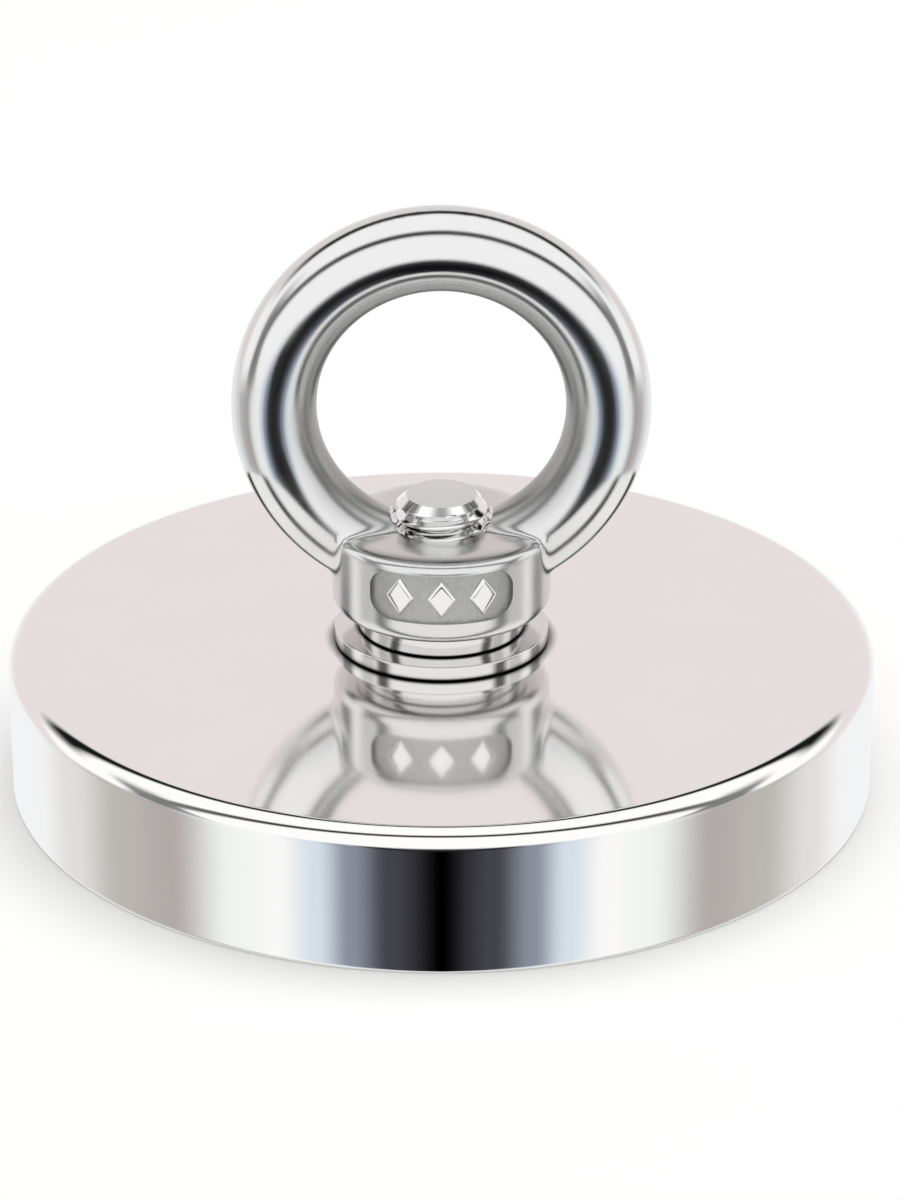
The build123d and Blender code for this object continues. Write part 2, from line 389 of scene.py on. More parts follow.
def new_tree(name, sizes):
    """A geometry tree with named sizes and a material, and its graph."""
    tree = bpy.data.node_groups.new(name, "GeometryNodeTree")
    kinds = {int: "NodeSocketInt", float: "NodeSocketFloat"}
    tree.interface.new_socket("Geometry", in_out="INPUT", socket_type="NodeSocketGeometry")
    for label, value in sizes.items():
        made = tree.interface.new_socket(label, in_out="INPUT", socket_type=kinds[type(value)])
        made.default_value = value
    tree.interface.new_socket("Material", in_out="INPUT", socket_type="NodeSocketMaterial")
    tree.interface.new_socket("Geometry", in_out="OUTPUT", socket_type="NodeSocketGeometry")
    graph = Graph(tree)
    return tree, graph, graph.node("NodeGroupInput").outputs


SHARP_ANGLE = math.radians(38)


def finish_tree(graph, given, geometry):
    """Smooth shading with crisp edges, then the material, then out."""
    smooth = graph.node("GeometryNodeSetShadeSmooth", {"Geometry": geometry})
    angle = graph.node("GeometryNodeInputMeshEdgeAngle").outputs["Unsigned Angle"]
    crisp = graph.node("FunctionNodeCompare", {0: angle, 1: SHARP_ANGLE}, operation="GREATER_THAN")
    edges = graph.node("GeometryNodeSetShadeSmooth", {"Geometry": smooth.outputs[0]}, domain="EDGE")
    graph.feed(crisp.outputs[0], edges.inputs["Selection"])
    edges.inputs["Shade Smooth"].default_value = False
    real = graph.node("GeometryNodeRealizeInstances", {"Geometry": edges.outputs[0]})
    inputs = {"Geometry": real.outputs[0], "Material": given["Material"]}
    coated = graph.node("GeometryNodeSetMaterial", inputs)
    graph.node("NodeGroupOutput", {0: coated.outputs[0]})


def polar(graph, radius, angle, height):
    """A point from its radius, its angle about Z and its height."""
    x = graph.math("MULTIPLY", radius, graph.math("COSINE", angle))
    y = graph.math("MULTIPLY", radius, graph.math("SINE", angle))
    return graph.node("ShaderNodeCombineXYZ", {"X": x, "Y": y, "Z": height}).outputs[0]


def lattice(graph, columns, rows):
    """A grid to be bent into shape, with each point's column and row."""
    grid = graph.node("GeometryNodeMeshGrid", {"Vertices X": columns, "Vertices Y": rows}).outputs["Mesh"]
    index = graph.node("GeometryNodeInputIndex").outputs[0]
    column = graph.math("FLOOR", graph.math("DIVIDE", index, rows))
    row = graph.math("SUBTRACT", index, graph.math("MULTIPLY", column, rows))
    return grid, column, row


def welded(graph, grid, position, distance):
    moved = graph.node("GeometryNodeSetPosition", {"Geometry": grid, "Position": position})
    inputs = {"Geometry": moved.outputs[0], "Distance": distance}
    return graph.node("GeometryNodeMergeByDistance", inputs).outputs[0]


def lathe_tree():
    """Turns the object's own outline, a chain of points in the XZ plane, once round Z."""
    tree, graph, given = new_tree("turned_piece", {"Around": 192, "Weld": 0.002 * MM})
    size = graph.node("GeometryNodeAttributeDomainSize", {"Geometry": given["Geometry"]})
    points = size.outputs["Point Count"]
    columns = graph.math("ADD", given["Around"], 1)
    grid, column, row = lattice(graph, columns, points)
    sample = graph.node("GeometryNodeSampleIndex", data_type="FLOAT_VECTOR")
    graph.feed(given["Geometry"], sample.inputs["Geometry"])
    graph.feed(graph.node("GeometryNodeInputPosition").outputs[0], sample.inputs["Value"])
    graph.feed(row, sample.inputs["Index"])
    place = graph.node("ShaderNodeSeparateXYZ", {0: sample.outputs[0]})
    angle = graph.math("MULTIPLY", graph.math("DIVIDE", column, given["Around"]), FULL_TURN)
    position = polar(graph, place.outputs["X"], angle, place.outputs["Z"])
    finish_tree(graph, given, welded(graph, grid, position, given["Weld"]))
    return tree


def thread_tree():
    """A right-hand threaded rod: rows of points that climb one pitch in each turn."""
    sizes = {
        "Around": 96,
        "Rows per Turn": 20,
        "Rows": 320,
        "Pitch": PITCH * MM,
        "Major": THREAD_MAJOR * MM,
        "Minor": THREAD_MINOR * MM,
        "Crest": THREAD_CREST * MM,
        "Start": 0.0,
        "Bottom": 0.0,
        "Bottom Radius": 0.004,
        "Top": 0.02,
        "Top Radius": 0.004,
        "Weld": 0.002 * MM,
    }
    tree, graph, given = new_tree("threaded_rod", sizes)
    columns = graph.math("ADD", given["Around"], 1)
    grid, column, row = lattice(graph, columns, given["Rows"])
    share = graph.math("DIVIDE", column, given["Around"])
    turns = graph.math("DIVIDE", row, given["Rows per Turn"])
    climbed = graph.math("MULTIPLY", given["Pitch"], graph.math("ADD", turns, share))
    free = graph.math("ADD", given["Start"], climbed)
    height = graph.math("MINIMUM", graph.math("MAXIMUM", free, given["Bottom"]), given["Top"])
    from_crest = graph.math("ABSOLUTE", graph.math("SUBTRACT", graph.math("FRACT", turns), 0.5))
    from_crest = graph.math("MULTIPLY", from_crest, given["Pitch"])
    past_crest = graph.math("SUBTRACT", from_crest, graph.math("DIVIDE", given["Crest"], 2))
    fall = graph.math("MULTIPLY", graph.math("MAXIMUM", past_crest, 0), 1 / math.tan(math.radians(30)))
    thread = graph.math("MAXIMUM", graph.math("SUBTRACT", given["Major"], fall), given["Minor"])
    top_bevel = graph.math("ADD", given["Top Radius"], graph.math("SUBTRACT", given["Top"], height))
    foot_bevel = graph.math("ADD", given["Bottom Radius"], graph.math("SUBTRACT", height, given["Bottom"]))
    radius = graph.math("MINIMUM", thread, graph.math("MINIMUM", top_bevel, foot_bevel))
    last_row = graph.math("SUBTRACT", given["Rows"], 1.5)
    past_first = graph.math("GREATER_THAN", row, 0.5)
    inside = graph.math("MULTIPLY", past_first, graph.math("LESS_THAN", row, last_row))
    angle = graph.math("MULTIPLY", share, FULL_TURN)
    position = polar(graph, graph.math("MULTIPLY", radius, inside), angle, height)
    finish_tree(graph, given, welded(graph, grid, position, given["Weld"]))
    return tree


def split_ring_tree():
    """A lock washer: the object's own closed outline, swept most of the way round, with slanted ends."""
    sizes = {"Around": 180, "Gap": 0.11, "Slant": 0.04, "Middle": 0.0, "Turned To": 0.0, "Weld": 0.002 * MM}
    tree, graph, given = new_tree("split_ring", sizes)
    size = graph.node("GeometryNodeAttributeDomainSize", {"Geometry": given["Geometry"]})
    points = size.outputs["Point Count"]
    columns = graph.math("ADD", given["Around"], 3)
    grid, column, row = lattice(graph, columns, points)
    sample = graph.node("GeometryNodeSampleIndex", data_type="FLOAT_VECTOR")
    graph.feed(given["Geometry"], sample.inputs["Geometry"])
    graph.feed(graph.node("GeometryNodeInputPosition").outputs[0], sample.inputs["Value"])
    graph.feed(row, sample.inputs["Index"])
    place = graph.node("ShaderNodeSeparateXYZ", {0: sample.outputs[0]})
    # the first and last columns shrink to the section's middle, which closes the two ends
    step = graph.math("SUBTRACT", column, 1)
    step = graph.math("MINIMUM", graph.math("MAXIMUM", step, 0), given["Around"])
    share = graph.math("DIVIDE", step, given["Around"])
    first = graph.math("LESS_THAN", column, 0.5)
    last = graph.math("GREATER_THAN", column, graph.math("ADD", given["Around"], 1.5))
    capped = graph.math("ADD", first, last)
    from_middle = graph.math("SUBTRACT", SPRING_MIDDLE * MM, place.outputs["X"])
    to_middle = graph.math("MULTIPLY", capped, from_middle)
    radius = graph.math("ADD", place.outputs["X"], to_middle)
    to_level = graph.math("MULTIPLY", capped, graph.math("SUBTRACT", given["Middle"], place.outputs["Z"]))
    height = graph.math("ADD", place.outputs["Z"], to_level)
    lean = graph.math("MULTIPLY", graph.math("SUBTRACT", height, given["Middle"]), given["Slant"])
    open_angle = graph.math("SUBTRACT", FULL_TURN, given["Gap"])
    half_gap = graph.math("DIVIDE", given["Gap"], 2)
    angle = graph.math("ADD", graph.math("MULTIPLY", share, open_angle), half_gap)
    angle = graph.math("ADD", graph.math("ADD", angle, given["Turned To"]), lean)
    finish_tree(graph, given, welded(graph, grid, polar(graph, radius, angle, height), given["Weld"]))
    return tree


def mark_tree():
    """Raised lozenges in a row, wrapped round the collar's front."""
    sizes = {
        "Count": MARK_COUNT,
        "Spacing": MARK_SPACING * MM,
        "Width": MARK_WIDTH * MM,
        "Height": MARK_HEIGHT * MM,
        "Rise": PANEL_DEPTH * MM,
        "Floor": (COLLAR_RADIUS - PANEL_DEPTH - MARK_SINK) * MM,
        "Level": PANEL_MIDDLE * MM,
    }
    tree, graph, given = new_tree("raised_marks", sizes)
    cells = 28
    grid = graph.node(
        "GeometryNodeMeshGrid", {"Size X": 2.0, "Size Y": 2.0, "Vertices X": cells, "Vertices Y": cells}
    ).outputs["Mesh"]
    line = graph.node("GeometryNodeMeshLine", mode="OFFSET")
    graph.feed(given["Count"], line.inputs["Count"])
    spread = graph.math("MULTIPLY", graph.math("SUBTRACT", given["Count"], 1), 0.5)
    left = graph.math("MULTIPLY", graph.math("MULTIPLY", spread, given["Spacing"]), -1)
    graph.feed(graph.node("ShaderNodeCombineXYZ", {"X": left}).outputs[0], line.inputs["Start Location"])
    graph.feed(graph.node("ShaderNodeCombineXYZ", {"X": given["Spacing"]}).outputs[0], line.inputs["Offset"])
    # each cell of the unit square is a lozenge on its side, a pillow in the middle and a skirt at its edge
    spot = graph.node("ShaderNodeSeparateXYZ", {0: graph.node("GeometryNodeInputPosition").outputs[0]})
    across, along = spot.outputs["X"], spot.outputs["Y"]
    edge = graph.math("MAXIMUM", graph.math("ABSOLUTE", across), graph.math("ABSOLUTE", along))
    within = graph.math("SUBTRACT", 1, graph.math("POWER", edge, 6))
    pillow = graph.math("SQRT", graph.math("MAXIMUM", within, 0))
    u = graph.math("MULTIPLY", graph.math("ADD", across, along), graph.math("DIVIDE", given["Width"], 4))
    quarter_height = graph.math("DIVIDE", given["Height"], 4)
    w = graph.math("MULTIPLY", graph.math("SUBTRACT", along, across), quarter_height)
    out = graph.math("MULTIPLY", pillow, given["Rise"])
    shaped = graph.node("ShaderNodeCombineXYZ", {"X": u, "Y": out, "Z": w}).outputs[0]
    one = graph.node("GeometryNodeSetPosition", {"Geometry": grid, "Position": shaped}).outputs[0]
    inputs = {"Points": line.outputs[0], "Instance": one}
    copies = graph.node("GeometryNodeInstanceOnPoints", inputs).outputs[0]
    real = graph.node("GeometryNodeRealizeInstances", {"Geometry": copies}).outputs[0]
    spot = graph.node("ShaderNodeSeparateXYZ", {0: graph.node("GeometryNodeInputPosition").outputs[0]})
    radius = graph.math("ADD", given["Floor"], spot.outputs["Y"])
    angle = graph.math("SUBTRACT", graph.math("DIVIDE", spot.outputs["X"], given["Floor"]), math.pi / 2)
    level = graph.math("ADD", spot.outputs["Z"], given["Level"])
    wrapped = graph.node("GeometryNodeSetPosition", {"Geometry": real})
    graph.feed(polar(graph, radius, angle, level), wrapped.inputs["Position"])
    finish_tree(graph, given, wrapped.outputs[0])
    return tree


# ---------------------------------------------------------------- making pieces


def outline_object(name, points):
    """An object whose mesh is the outline's chain of points, in the XZ plane."""
    mesh = bpy.data.meshes.new(name)
    chain = [(i, i + 1) for i in range(len(points) - 1)]
    mesh.from_pydata([(p.x * MM, 0, p.y * MM) for p in points], chain, [])
    made = bpy.data.objects.new(name, mesh)
    bpy.context.scene.collection.objects.link(made)
    return made


def grown(made, tree, material, sizes=None):
    """Runs the tree on the object, keeps the result as its plain mesh, and takes the modifier off."""
    modifier = made.modifiers.new(tree.name, "NODES")
    modifier.node_group = tree
    given = {**(sizes or {}), "Material": material}
    for item in tree.interface.items_tree:
        if item.in_out == "INPUT" and item.name in given:
            modifier[item.identifier] = given[item.name]
    bake(made)
    return made


def bake(made):
    """Turns the evaluated object into its plain mesh, with its faces outwards and no modifiers."""
    bpy.context.view_layer.update()
    evaluated = made.evaluated_get(bpy.context.evaluated_depsgraph_get())
    mesh = bpy.data.meshes.new_from_object(evaluated)
    made.modifiers.clear()
    made.data = mesh
    mesh.name = made.name
    clean = bmesh.new()
    clean.from_mesh(mesh)
    bmesh.ops.recalc_face_normals(clean, faces=clean.faces)
    clean.to_mesh(mesh)
    clean.free()


def turned(name, points, material, around=192):
    return grown(outline_object(name, points), LATHE, material, {"Around": around})


def cut(made, tool):
    """Takes the tool out of the piece, and removes the tool."""
    modifier = made.modifiers.new("cut", "BOOLEAN")
    modifier.operation = "DIFFERENCE"
    modifier.solver = "EXACT"
    modifier.object = tool
    modifier.material_mode = "TRANSFER"
    bake(made)
    bpy.data.objects.remove(tool)


def crisp_edges(made):
    """Smooth faces, with every edge sharper than SHARP_ANGLE left crisp."""
    shaped = bmesh.new()
    shaped.from_mesh(made.data)
    for face in shaped.faces:
        face.smooth = True
    for edge in shaped.edges:
        edge.smooth = len(edge.link_faces) != 2 or edge.calc_face_angle() < SHARP_ANGLE
    shaped.to_mesh(made.data)
    shaped.free()


def settle(made, body, slot, *nodes):
    """Puts a finished piece on its body, in place of its nodes."""
    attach(made, body)
    if nodes:
        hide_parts(*nodes)


# ---------------------------------------------------------------- the pot and what is in it


def make_pot():
    cavity_top = BUSH_BACK
    cup = turned(
        "pot_cup",
        outline(
            (BOLT_HOLE_RADIUS, cavity_top, 0),
            (RESIN_RADIUS, cavity_top, 0),
            (RESIN_RADIUS, POT_FOOT, 0.3),
            (POT_RADIUS, POT_FOOT, POT_FOOT_CORNER),
            (POT_RADIUS, POT_TOP, POT_TOP_CORNER),
            (BOLT_HOLE_RADIUS, POT_TOP, 0.15),
        ),
        FINISH["nickel_mirror"],
        384,
    )
    settle(cup, "pot", "plated_steel", "pot_shell")
    magnet = turned(
        "magnet_ring",
        ring_outline(MAGNET_RADIUS, INNER_RESIN_RADIUS, MAGNET_FACE, MAGNET_BACK, 0.3, 0.3),
        FINISH["magnet_plating"],
    )
    settle(magnet, "pot", "plated_magnet", "ring_magnet")
    settle(resin_fillet("outer_potting", RESIN_RADIUS, MAGNET_RADIUS), "pot", "resin", "outer_resin_ring")
    settle(resin_fillet("inner_potting", INNER_RESIN_RADIUS, BUSH_RADIUS), "pot", "resin", "inner_resin_ring")
    seat = HEAD_RADIUS + HEAD_PLAY
    land = BOLT_FACE + HEAD_LAND
    bush = turned(
        "brass_bush",
        outline(
            (seat, BUSH_FACE, 0.2),
            (BUSH_RADIUS, BUSH_FACE, 0.2),
            (BUSH_RADIUS, BUSH_BACK, 0),
            (BOLT_HOLE_RADIUS, BUSH_BACK, 0),
            (BOLT_HOLE_RADIUS, land + seat - BOLT_HOLE_RADIUS, 0),
            (seat, land, 0),
        ),
        FINISH["bush_brass"],
    )
    settle(bush, "pot", "bush_brass", "centre_bush")
    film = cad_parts["bond_film"]
    film.data.materials.clear()
    film.data.materials.append(FINISH["potting_resin"])


RESIN_DIP = 0.25


def resin_fillet(name, outer, inner):
    """A ring of resin whose face has drawn down between its two walls."""
    middle = (outer + inner) / 2
    points = [Vector((inner, RESIN_BACK)), Vector((inner, RESIN_FACE))]
    for step in range(1, ARC_STEPS):
        across = step / ARC_STEPS
        dip = RESIN_DIP * math.sin(math.pi * across)
        points.append(Vector((inner + (outer - inner) * across, RESIN_FACE + dip)))
    points += [Vector((outer, RESIN_FACE)), Vector((outer, RESIN_BACK)), Vector((middle, RESIN_BACK))]
    points.append(points[0])
    return turned(name, points, FINISH["potting_resin"])


# ---------------------------------------------------------------- the bolt


def rod(name, start, bottom, bottom_radius, top, top_radius, play, material):
    """A length of thread, all lengths of it in step with each other."""
    rows_per_turn = 20
    phase = math.floor((bottom - start) / PITCH) - 1
    first = start + phase * PITCH
    turns = math.ceil((top - first) / PITCH) + 1
    sizes = {
        "Rows per Turn": rows_per_turn,
        "Rows": rows_per_turn * turns,
        "Major": (THREAD_MAJOR + play) * MM,
        "Minor": (THREAD_MINOR + play) * MM,
        "Crest": (THREAD_CREST + 2 * play) * MM,
        "Start": first * MM,
        "Bottom": bottom * MM,
        "Bottom Radius": bottom_radius * MM,
        "Top": top * MM,
        "Top Radius": top_radius * MM,
    }
    return grown(outline_object(name, [Vector((0, 0))]), THREAD, material, sizes)


THREAD_START = 0.45  # where a root of the thread crosses the +X side, above the origin


def make_bolt():
    land = BOLT_FACE + HEAD_LAND
    head = turned(
        "bolt_head",
        outline(
            (0, BOLT_FACE, 0),
            (HEAD_RADIUS, BOLT_FACE, 0.15),
            (HEAD_RADIUS, land, 0),
            (NECK_RADIUS, land + HEAD_RADIUS - NECK_RADIUS, 0.6),
            (NECK_RADIUS, NECK_TOP, 0.1),
            (0, NECK_TOP, 0),
            closed=False,
        ),
        FINISH["bolt_bright"],
        96,
    )
    key = hexagon("key", SOCKET_ACROSS_FLATS, BOLT_FACE - 1, BOLT_FACE + SOCKET_DEPTH)
    cut(head, key)
    crisp_edges(head)
    settle(head, "bolt", "bolt_steel", "countersunk_bolt")
    steel = FINISH["bolt_bright"]
    shank = rod("bolt_thread", THREAD_START, NECK_TOP - 0.5, TIP_RADIUS, BOLT_TIP, TIP_RADIUS, 0, steel)
    settle(shank, "bolt", "bolt_steel")


def hexagon(name, across_flats, bottom, top):
    """A six-sided bar with a drilled point at its inner end."""
    shape = bmesh.new()
    radius = across_flats / math.sqrt(3)
    levels = []
    for height in (bottom, top - 0.3):
        ring = []
        for corner in range(6):
            angle = FULL_TURN * corner / 6
            place = Vector((radius * math.cos(angle), radius * math.sin(angle), height)) * MM
            ring.append(shape.verts.new(place))
        levels.append(ring)
    point = shape.verts.new((0, 0, top * MM))
    shape.faces.new(levels[0][::-1])
    for corner in range(6):
        following = (corner + 1) % 6
        shape.faces.new((levels[0][corner], levels[0][following], levels[1][following], levels[1][corner]))
        shape.faces.new((levels[1][corner], levels[1][following], point))
    mesh = bpy.data.meshes.new(name)
    shape.to_mesh(mesh)
    shape.free()
    made = bpy.data.objects.new(name, mesh)
    bpy.context.scene.collection.objects.link(made)
    return made


# ---------------------------------------------------------------- the washers


def make_washers():
    flat = turned(
        "flat_washer_ring",
        ring_outline(WASHER_RADIUS, BOLT_HOLE_RADIUS, WASHER_BOTTOM, WASHER_TOP, 0.18, 0.1),
        FINISH["washer_polished"],
    )
    settle(flat, "washers", "washer_steel", "flat_washer")
    section = ring_outline(SPRING_RADIUS, SPRING_BORE_RADIUS, SPRING_BOTTOM, SPRING_TOP, 0.22, 0.22)
    sizes = {
        "Gap": SPRING_GAP / SPRING_MIDDLE,
        "Slant": math.tan(SPRING_END_LEAN) / (SPRING_MIDDLE * MM),
        "Middle": (SPRING_BOTTOM + SPRING_TOP) / 2 * MM,
        "Turned To": SPRING_GAP_AT,
    }
    spring = grown(
        outline_object("spring_washer_ring", section), SPLIT_RING, FINISH["washer_polished"], sizes
    )
    settle(spring, "washers", "washer_steel", "spring_washer")


# ---------------------------------------------------------------- the eye nut


FORGING_CELL = 0.27
SHOULDER_FALL = 0.45
TOP_EDGE = 0.8  # how widely each edge of the forging is rounded
FOOT_EDGE = 1.6
JOIN_FILLET = 0.7


def soft_max(first, second, reach):
    """The larger of two distances, rounded where they cross."""
    near = np.maximum(reach - np.abs(first - second), 0) / reach
    return np.maximum(first, second) + near * near * reach / 4


def collar_distance(x, y, z):
    """How far outside the collar a point is, in millimetres. Its shoulder falls away past the flat top."""
    radius = np.hypot(x, y)
    past_flat = np.clip((radius - COLLAR_FLAT_RADIUS) / (COLLAR_RADIUS - COLLAR_FLAT_RADIUS), 0, 2)
    top = z - (COLLAR_TOP - SHOULDER_FALL * past_flat**2)
    wall = radius - COLLAR_RADIUS
    foot = COLLAR_FOOT - z
    return soft_max(soft_max(wall, top, TOP_EDGE), foot, FOOT_EDGE)


def eye_distance(points):
    """How far outside the forging a point is: ring and collar, run together where they meet."""
    x, y, z = points.T
    across = np.hypot(x, z - RING_CENTRE) - RING_RADIUS
    ring = np.hypot(across, y) - RING_BAR
    return -soft_max(-ring, -collar_distance(x, y, z), JOIN_FILLET)


def onto_forging(points):
    """Moves points straight onto the forging's surface."""
    step = 1e-3
    for _ in range(6):
        value = eye_distance(points)
        slope = np.stack(
            [(eye_distance(points + step * axis) - value) / step for axis in np.eye(3)], axis=1
        )
        points = points - (value / np.maximum((slope**2).sum(1), 0.2))[:, None] * slope
    return points


def make_forging():
    """The ring and the collar as one smooth skin."""
    made = turned(
        "eye_forging",
        outline(
            (0, COLLAR_FOOT, 0),
            (COLLAR_RADIUS, COLLAR_FOOT, 0.9),
            (COLLAR_RADIUS, COLLAR_TOP, 1.2),
            (0, COLLAR_TOP, 0),
            closed=False,
        ),
        FINISH["eye_stainless"],
        128,
    )
    bar = [
        Vector((RING_RADIUS + RING_BAR * math.cos(a), RING_BAR * math.sin(a)))
        for a in (FULL_TURN * step / 48 for step in range(49))
    ]
    ring = turned("ring_bar", bar, FINISH["eye_stainless"], 192)
    ring.data.transform(Matrix.Translation((0, 0, RING_CENTRE * MM)) @ Matrix.Rotation(math.pi / 2, 4, "X"))
    joined = bmesh.new()
    joined.from_mesh(made.data)
    joined.from_mesh(ring.data)
    joined.to_mesh(made.data)
    joined.free()
    bpy.data.objects.remove(ring)
    skin = made.modifiers.new("skin", "REMESH")
    skin.mode = "VOXEL"
    skin.voxel_size = FORGING_CELL * MM
    bake(made)
    count = len(made.data.vertices)
    points = np.empty(count * 3, np.float32)
    made.data.vertices.foreach_get("co", points)
    placed = onto_forging(points.reshape(-1, 3).astype(float) / MM) * MM
    made.data.vertices.foreach_set("co", placed.astype(np.float32).ravel())
    made.data.update()
    made.data.materials.clear()
    made.data.materials.append(FINISH["eye_stainless"])
    return made


def pocket_tool():
    """What is taken out of the collar's front: a rounded panel, sunk evenly into the round wall."""
    columns = 56
    half_width, half_height = PANEL_WIDTH / 2, PANEL_HEIGHT / 2
    shape = bmesh.new()
    rows = 10
    layers = []
    for radius in (COLLAR_RADIUS - PANEL_DEPTH, COLLAR_RADIUS + 1.5):
        layer = []
        for column in range(columns + 1):
            x = -half_width * math.cos(math.pi * column / columns)
            into_corner = max(abs(x) - (half_width - PANEL_CORNER), 0)
            reach = half_height - PANEL_CORNER + math.sqrt(max(PANEL_CORNER**2 - into_corner**2, 0))
            y = -math.sqrt(radius**2 - x**2)
            layer.append(
                [
                    shape.verts.new((x * MM, y * MM, (PANEL_MIDDLE + reach * (2 * row / rows - 1)) * MM))
                    for row in range(rows + 1)
                ]
            )
        layers.append(layer)
    floor, cover = layers
    for column in range(columns):
        for row in range(rows):
            corners = ((column, row), (column + 1, row), (column + 1, row + 1), (column, row + 1))
            shape.faces.new([floor[c][r] for c, r in corners[::-1]])
            shape.faces.new([cover[c][r] for c, r in corners])
        for row in (0, rows):
            side = [floor[column][row], floor[column + 1][row], cover[column + 1][row], cover[column][row]]
            shape.faces.new(side)
    for column in (0, columns):
        for row in range(rows):
            side = [floor[column][row], floor[column][row + 1], cover[column][row + 1], cover[column][row]]
            shape.faces.new(side)
    bmesh.ops.recalc_face_normals(shape, faces=shape.faces)
    mesh = bpy.data.meshes.new("pocket")
    shape.to_mesh(mesh)
    shape.free()
    mesh.materials.append(FINISH["cast_floor"])
    made = bpy.data.objects.new("pocket", mesh)
    bpy.context.scene.collection.objects.link(made)
    return made


def make_eye():
    eye = make_forging()
    mouth = MOUTH_RADIUS - THREAD_MINOR
    drill = turned(
        "drill",
        outline(
            (0, COLLAR_FOOT - 1, 0),
            (MOUTH_RADIUS + 1, COLLAR_FOOT - 1, 0),
            (THREAD_MINOR, COLLAR_FOOT + mouth, 0),
            (THREAD_MINOR, COLLAR_TOP - mouth, 0),
            (MOUTH_RADIUS, COLLAR_TOP, 0),
            (MOUTH_RADIUS, RING_CENTRE, 0),
            (0, RING_CENTRE, 0),
            closed=False,
        ),
        FINISH["stainless_polished"],
        96,
    )
    cut(eye, drill)
    tap = rod(
        "tap",
        THREAD_START,
        COLLAR_FOOT - 0.5,
        THREAD_MINOR + THREAD_PLAY,
        COLLAR_TOP + 0.5,
        THREAD_MINOR + THREAD_PLAY,
        THREAD_PLAY,
        FINISH["stainless_polished"],
    )
    cut(eye, tap)
    cut(eye, pocket_tool())
    crisp_edges(eye)
    settle(eye, "eye", "eye_steel", "eye_nut")
    start = outline_object("raised_marks", [Vector((0, 0))])
    marks = grown(start, MARKS, FINISH["stainless_polished"])
    settle(marks, "eye", "eye_steel")


# ---------------------------------------------------------------- camera, floor and studio


VIEW_ELEVATION = math.radians(26.5)
VIEW_DISTANCE = 550 * MM
AIM = Vector((0.92, 0, 20.3)) * MM
LENS = 149.7
LAMP_POWER = 2.2
LAMP_SIZE = 0.6
LAMP_PLACE = Vector((0.1, 0.1, 0.8))
FLOOR_REACH = 6.0
FLOOR_GAP = 0.02 * MM  # the floor is this far clear of the pot's foot
TO_CAMERA = Vector((0, -math.cos(VIEW_ELEVATION), math.sin(VIEW_ELEVATION)))
TO_FRONT = Vector((0, -1, 0))
TO_ARCH = Vector((0, -0.966, -0.259))  # the middle of the dark arch that passes over the eye


def make_camera():
    data = bpy.data.cameras.new("camera")
    data.lens = LENS
    data.sensor_width = 36
    data.clip_start = 0.01
    camera = bpy.data.objects.new("camera", data)
    bpy.context.scene.collection.objects.link(camera)
    camera.location = TO_CAMERA * VIEW_DISTANCE
    camera.rotation_euler = (AIM - camera.location).to_track_quat("-Z", "Y").to_euler()
    bpy.context.scene.camera = camera


# what the magnet's wall mirrors from the front (0) round to the back (180), by degrees
LOWER_CARDS = (
    (0, (0.0, 0.0, 0.0, 1)),
    (14, (0.06, 0.06, 0.075, 1)),
    (24, (0.26, 0.29, 0.35, 1)),
    (33, (0.70, 0.78, 0.86, 1)),
    (44, (1.0, 1.0, 1.0, 1)),
    (56, (0.92, 0.96, 0.94, 1)),
    (76, (0.46, 0.43, 0.42, 1)),
    (94, (0.52, 0.50, 0.48, 1)),
    (114, (0.78, 0.77, 0.76, 1)),
    (134, (0.93, 0.94, 0.95, 1)),
    (180, (0.90, 0.92, 0.94, 1)),
)


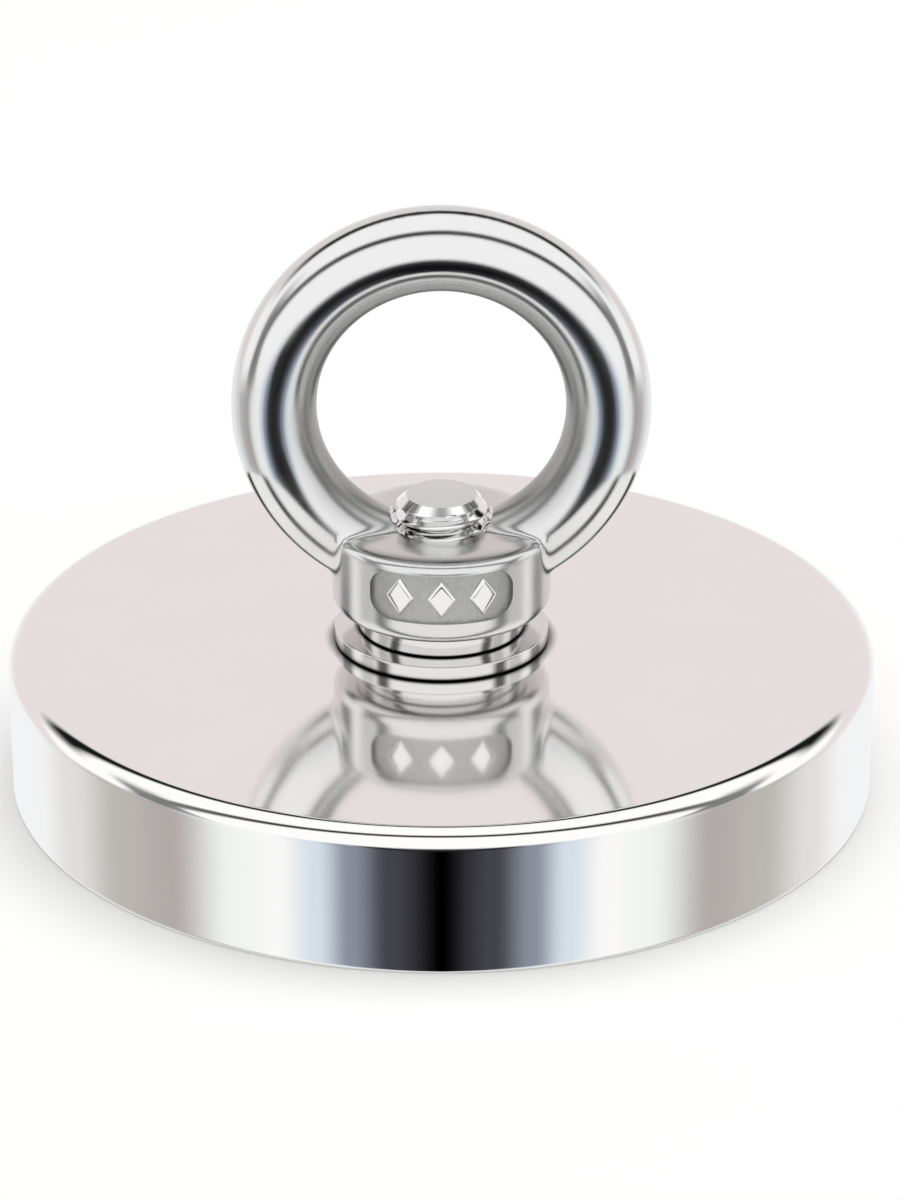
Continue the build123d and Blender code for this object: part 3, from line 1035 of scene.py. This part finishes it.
def make_world():
    """A tent of soft white, grey and black bands for the polished metal to mirror.

    The bands stay where they are in the world, and are laid out for the main view."""
    world = bpy.data.worlds.new("studio_tent")
    world.use_nodes = True
    graph = Graph(world.node_tree)
    direction = graph.node("ShaderNodeTexCoord").outputs["Generated"]
    aside = degrees_from(graph, direction, TO_CAMERA)
    off_front = degrees_from(graph, direction, TO_FRONT)
    parts = graph.node("ShaderNodeSeparateXYZ", {0: direction})
    height = parts.outputs["Z"]
    forward = graph.math("MULTIPLY", parts.outputs["Y"], -1)
    sideways = graph.math("ABSOLUTE", parts.outputs["X"])
    round_from_front = graph.math("DIVIDE", graph.math("ARCTAN2", sideways, forward), math.pi)
    wall_cards = graph.node("ShaderNodeValToRGB", {0: round_from_front})
    stops = wall_cards.color_ramp.elements
    for _ in LOWER_CARDS[2:]:
        stops.new(0.5)
    for stop, (degrees, colour) in zip(stops, LOWER_CARDS):
        stop.position = degrees / 180
        stop.color = colour
    wall_cards.color_ramp.interpolation = "EASE"
    back = graph.blend(graph.ease(aside, 132, 165), (0.83, 0.775, 0.77, 1), grey(0.98))
    tent = graph.blend(graph.ease(aside, 108, 116), grey(1.05), back)
    ribbon = graph.math("MULTIPLY", band(graph, aside, 92, 101, 108, 116), graph.ease(height, 0.18, 0.55))
    tent = graph.blend(ribbon, tent, grey(0.01))
    side_card = graph.math("MULTIPLY", band(graph, aside, 66, 72, 80, 88), graph.ease(height, 0.62, 0.2))
    tent = graph.blend(graph.math("MULTIPLY", side_card, 0.85), tent, grey(0.12))
    tent = graph.blend(graph.ease(height, -0.10, -0.30), tent, wall_cards.outputs[0])
    off_arch = degrees_from(graph, direction, TO_ARCH)
    arch = graph.math("MULTIPLY", band(graph, off_arch, 66, 74, 78, 87), graph.ease(height, -0.3, -0.1))
    tent = graph.blend(arch, tent, graph.blend(graph.ease(height, 0.1, 0.8), grey(0.22), grey(0.03)))
    low_front = graph.ease(height, -0.17, -0.27)
    hoop = graph.math("MULTIPLY", band(graph, off_front, 17, 19.5, 23, 26.5), low_front)
    tent = graph.blend(hoop, tent, grey(0.02))
    # seen straight on, past the floor, the tent is plain white
    seen_directly = graph.node("ShaderNodeLightPath").outputs["Is Camera Ray"]
    tent = graph.blend(seen_directly, tent, grey(1.0))
    graph.feed(tent, world.node_tree.nodes["Background"].inputs["Color"])
    bpy.context.scene.world = world


def degrees_from(graph, direction, axis):
    cosine = graph.vector("DOT_PRODUCT", direction, tuple(axis))
    return graph.math("MULTIPLY", graph.math("ARCCOSINE", cosine), 180 / math.pi)


def band(graph, value, start, full, fade, end):
    """Rises from 0 to 1 between start and full, and falls back between fade and end."""
    return graph.math("MULTIPLY", graph.ease(value, start, full), graph.ease(value, fade, end, 1.0, 0.0))


def stage_sheet(name, points, faces, material):
    mesh = bpy.data.meshes.new(name)
    mesh.from_pydata(points, [], faces)
    mesh.materials.append(material)
    made = bpy.data.objects.new(name, mesh)
    bpy.context.scene.collection.objects.link(made)
    return made


def floor_material():
    """A pale floor that shows from above only, so that it doesn't hide the magnet's face from below."""
    material = bpy.data.materials.new("pale_floor")
    material.use_nodes = True
    graph = Graph(material.node_tree)
    nodes = material.node_tree.nodes
    nodes.remove(nodes["Principled BSDF"])
    diffuse = graph.node("ShaderNodeBsdfDiffuse", {"Color": (0.86, 0.86, 0.85, 1)}).outputs[0]
    glow = graph.node("ShaderNodeEmission", {"Color": (1, 1, 0.985, 1), "Strength": 0.10}).outputs[0]
    lit = graph.node("ShaderNodeAddShader", {0: diffuse, 1: glow}).outputs[0]
    clear = graph.node("ShaderNodeBsdfTransparent").outputs[0]
    below = graph.node("ShaderNodeNewGeometry").outputs["Backfacing"]
    mixed = graph.node("ShaderNodeMixShader", {0: below, 1: lit, 2: clear}).outputs[0]
    graph.feed(mixed, nodes["Material Output"].inputs["Surface"])
    return material


def make_stage():
    signs = ((-1, -1), (1, -1), (1, 1), (-1, 1))
    corners = [(x * FLOOR_REACH, y * FLOOR_REACH, -FLOOR_GAP) for x, y in signs]
    floor = stage_sheet("floor", corners, [(0, 1, 2, 3)], floor_material())
    floor.visible_glossy = False


def make_light():
    data = bpy.data.lights.new("softbox", "AREA")
    data.energy = LAMP_POWER
    data.size = LAMP_SIZE
    light = bpy.data.objects.new("softbox", data)
    bpy.context.scene.collection.objects.link(light)
    light.location = LAMP_PLACE
    light.rotation_euler = (-LAMP_PLACE).to_track_quat("-Z", "Y").to_euler()
    light.visible_glossy = False


# ---------------------------------------------------------------- the scene

FINISH = make_materials()
LATHE = lathe_tree()
THREAD = thread_tree()
SPLIT_RING = split_ring_tree()
MARKS = mark_tree()

make_camera()
make_pot()
make_bolt()
make_washers()
make_eye()
make_world()
make_stage()
make_light()
bpy.context.scene.view_settings.view_transform = "Standard"
